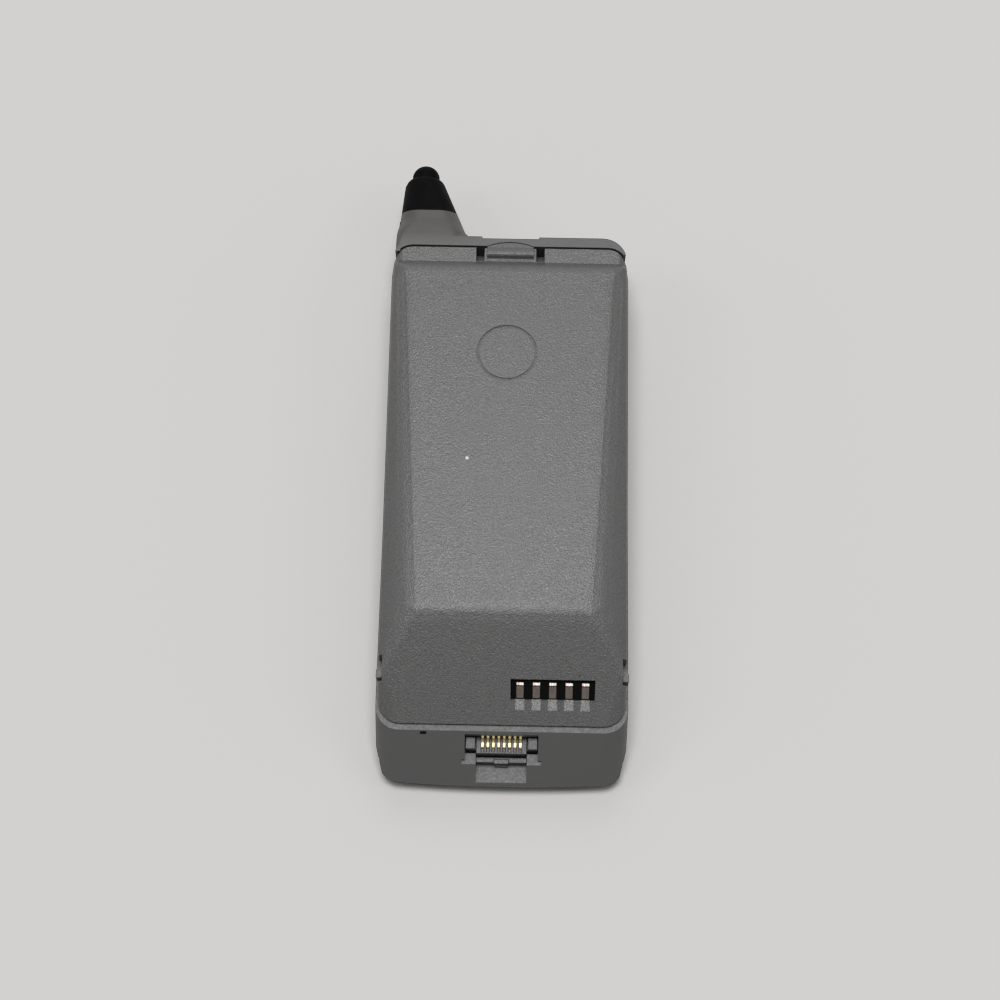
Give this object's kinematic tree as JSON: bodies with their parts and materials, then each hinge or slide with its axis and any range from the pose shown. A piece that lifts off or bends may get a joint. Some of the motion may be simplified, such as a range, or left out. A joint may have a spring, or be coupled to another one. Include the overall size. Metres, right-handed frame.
{
  "type": "flip phone",
  "caption": "Slim flip phone lying face down, with a wedge-shaped battery pack on its back, a sliding whip antenna, a bevelled chin with a connector and a hinged flip over the keys.",
  "frame": {"origin": "middle of the whole outline in plan, antenna included, on the plane that the brow and chin block rest on", "axes": "+X to the right of the back as it is seen, +Y along the handset to the antenna, +Z out of the back"},
  "size_m": [0.059, 0.16, 0.0252],
  "materials": {
    "housing_plastic": "fine grained",
    "pack_plastic": "fine grained",
    "flip_plastic": "fine grained",
    "antenna_rubber": "matte",
    "brass": "turned",
    "nylon": "natural",
    "steel_wire": "drawn",
    "window": "clear",
    "display": "liquid crystal",
    "speaker": "moulded",
    "seal": "soft",
    "microphone_can": "pressed",
    "board": "solder mask",
    "chips": "moulded",
    "shield": "tinned",
    "domes": "pressed",
    "connector_plastic": "moulded",
    "gold_plate": "plated",
    "screws": "zinc plated",
    "cell_wrap": "sleeved steel can",
    "nickel": "plated",
    "carrier_plastic": "moulded",
    "key_rubber": "silicone",
    "side_key_rubber": "silicone"
  },
  "bodies": {
    "handset": {"front_housing": "housing_plastic", "rear_housing": "housing_plastic", "antenna_boot": "antenna_rubber", "antenna_bushing": "brass", "antenna_guide": "nylon", "hinge_pins": "steel_wire", "display_window": "window", "display_module": "display", "earpiece_speaker": "speaker", "ringer": "speaker", "earpiece_gasket": "seal", "microphone_boot": "seal", "microphone": "microphone_can", "logic_board": "board", "board_components": "chips", "side_switches": "chips", "rf_shield": "shield", "key_domes": "domes", "accessory_connector": "connector_plastic", "connector_pins": "gold_plate", "battery_terminals": "gold_plate", "case_screws": "screws"},
    "flip": {"flip_cover": "flip_plastic", "flip_liner": "flip_plastic", "hinge_bushings": "brass"},
    "whip": {"antenna_whip": "steel_wire", "antenna_tip": "antenna_rubber", "whip_stop": "steel_wire"},
    "battery": {"battery_cover": "pack_plastic", "battery_tray": "pack_plastic", "battery_cells": "cell_wrap", "cell_straps": "nickel", "battery_pads": "gold_plate", "contact_carrier": "carrier_plastic", "charge_contacts": "nickel"},
    "latch": {"battery_latch": "pack_plastic"},
    "volume_up": {"volume_up_key": "side_key_rubber"},
    "volume_down": {"volume_down_key": "side_key_rubber"},
    "key_1_cap": {"key_1": "key_rubber"},
    "key_2_cap": {"key_2": "key_rubber"},
    "key_3_cap": {"key_3": "key_rubber"},
    "key_4_cap": {"key_4": "key_rubber"},
    "key_5_cap": {"key_5": "key_rubber"},
    "key_6_cap": {"key_6": "key_rubber"},
    "key_7_cap": {"key_7": "key_rubber"},
    "key_8_cap": {"key_8": "key_rubber"},
    "key_9_cap": {"key_9": "key_rubber"},
    "key_star_cap": {"key_star": "key_rubber"},
    "key_0_cap": {"key_0": "key_rubber"},
    "key_hash_cap": {"key_hash": "key_rubber"},
    "key_recall_cap": {"key_recall": "key_rubber"},
    "key_clear_cap": {"key_clear": "key_rubber"},
    "key_store_cap": {"key_store": "key_rubber"},
    "key_power_cap": {"key_power": "key_rubber"},
    "key_end_cap": {"key_end": "key_rubber"},
    "key_send_cap": {"key_send": "key_rubber"}
  },
  "joints": [
    {"name": "antenna_slide", "type": "slide", "parent": "handset", "child": "whip", "axis": [0, 1, 0], "range_m": [0, 0.0717]},
    {"name": "battery_latch_press", "type": "slide", "parent": "battery", "child": "latch", "axis": [0, 0, -1], "range_m": [0, 0.0012], "stiffness_N_per_m": 900},
    {"name": "battery_slide", "type": "slide", "parent": "handset", "child": "battery", "axis": [0, -1, 0], "range_m": [0, 0.0025]},
    {"name": "flip_hinge", "type": "hinge", "parent": "handset", "child": "flip", "pos_m": [0, -0.07195, 0.0034], "axis": [-1, 0, 0], "range_deg": [0, 145]},
    {"name": "key_1_press", "type": "slide", "parent": "handset", "child": "key_1_cap", "axis": [0, 0, 1], "range_m": [0, 0.0007], "stiffness_N_per_m": 250},
    {"name": "key_2_press", "type": "slide", "parent": "handset", "child": "key_2_cap", "axis": [0, 0, 1], "range_m": [0, 0.0007], "stiffness_N_per_m": 250},
    {"name": "key_3_press", "type": "slide", "parent": "handset", "child": "key_3_cap", "axis": [0, 0, 1], "range_m": [0, 0.0007], "stiffness_N_per_m": 250},
    {"name": "key_4_press", "type": "slide", "parent": "handset", "child": "key_4_cap", "axis": [0, 0, 1], "range_m": [0, 0.0007], "stiffness_N_per_m": 250},
    {"name": "key_5_press", "type": "slide", "parent": "handset", "child": "key_5_cap", "axis": [0, 0, 1], "range_m": [0, 0.0007], "stiffness_N_per_m": 250},
    {"name": "key_6_press", "type": "slide", "parent": "handset", "child": "key_6_cap", "axis": [0, 0, 1], "range_m": [0, 0.0007], "stiffness_N_per_m": 250},
    {"name": "key_7_press", "type": "slide", "parent": "handset", "child": "key_7_cap", "axis": [0, 0, 1], "range_m": [0, 0.0007], "stiffness_N_per_m": 250},
    {"name": "key_8_press", "type": "slide", "parent": "handset", "child": "key_8_cap", "axis": [0, 0, 1], "range_m": [0, 0.0007], "stiffness_N_per_m": 250},
    {"name": "key_9_press", "type": "slide", "parent": "handset", "child": "key_9_cap", "axis": [0, 0, 1], "range_m": [0, 0.0007], "stiffness_N_per_m": 250},
    {"name": "key_star_press", "type": "slide", "parent": "handset", "child": "key_star_cap", "axis": [0, 0, 1], "range_m": [0, 0.0007], "stiffness_N_per_m": 250},
    {"name": "key_0_press", "type": "slide", "parent": "handset", "child": "key_0_cap", "axis": [0, 0, 1], "range_m": [0, 0.0007], "stiffness_N_per_m": 250},
    {"name": "key_hash_press", "type": "slide", "parent": "handset", "child": "key_hash_cap", "axis": [0, 0, 1], "range_m": [0, 0.0007], "stiffness_N_per_m": 250},
    {"name": "key_recall_press", "type": "slide", "parent": "handset", "child": "key_recall_cap", "axis": [0, 0, 1], "range_m": [0, 0.0007], "stiffness_N_per_m": 250},
    {"name": "key_clear_press", "type": "slide", "parent": "handset", "child": "key_clear_cap", "axis": [0, 0, 1], "range_m": [0, 0.0007], "stiffness_N_per_m": 250},
    {"name": "key_store_press", "type": "slide", "parent": "handset", "child": "key_store_cap", "axis": [0, 0, 1], "range_m": [0, 0.0007], "stiffness_N_per_m": 250},
    {"name": "key_power_press", "type": "slide", "parent": "handset", "child": "key_power_cap", "axis": [0, 0, 1], "range_m": [0, 0.0007], "stiffness_N_per_m": 250},
    {"name": "key_end_press", "type": "slide", "parent": "handset", "child": "key_end_cap", "axis": [0, 0, 1], "range_m": [0, 0.0007], "stiffness_N_per_m": 250},
    {"name": "key_send_press", "type": "slide", "parent": "handset", "child": "key_send_cap", "axis": [0, 0, 1], "range_m": [0, 0.0007], "stiffness_N_per_m": 250},
    {"name": "volume_down_press", "type": "slide", "parent": "handset", "child": "volume_down", "axis": [-1, 0, 0], "range_m": [0, 0.0005], "stiffness_N_per_m": 400},
    {"name": "volume_up_press", "type": "slide", "parent": "handset", "child": "volume_up", "axis": [-1, 0, 0], "range_m": [0, 0.0005], "stiffness_N_per_m": 400}
  ]
}
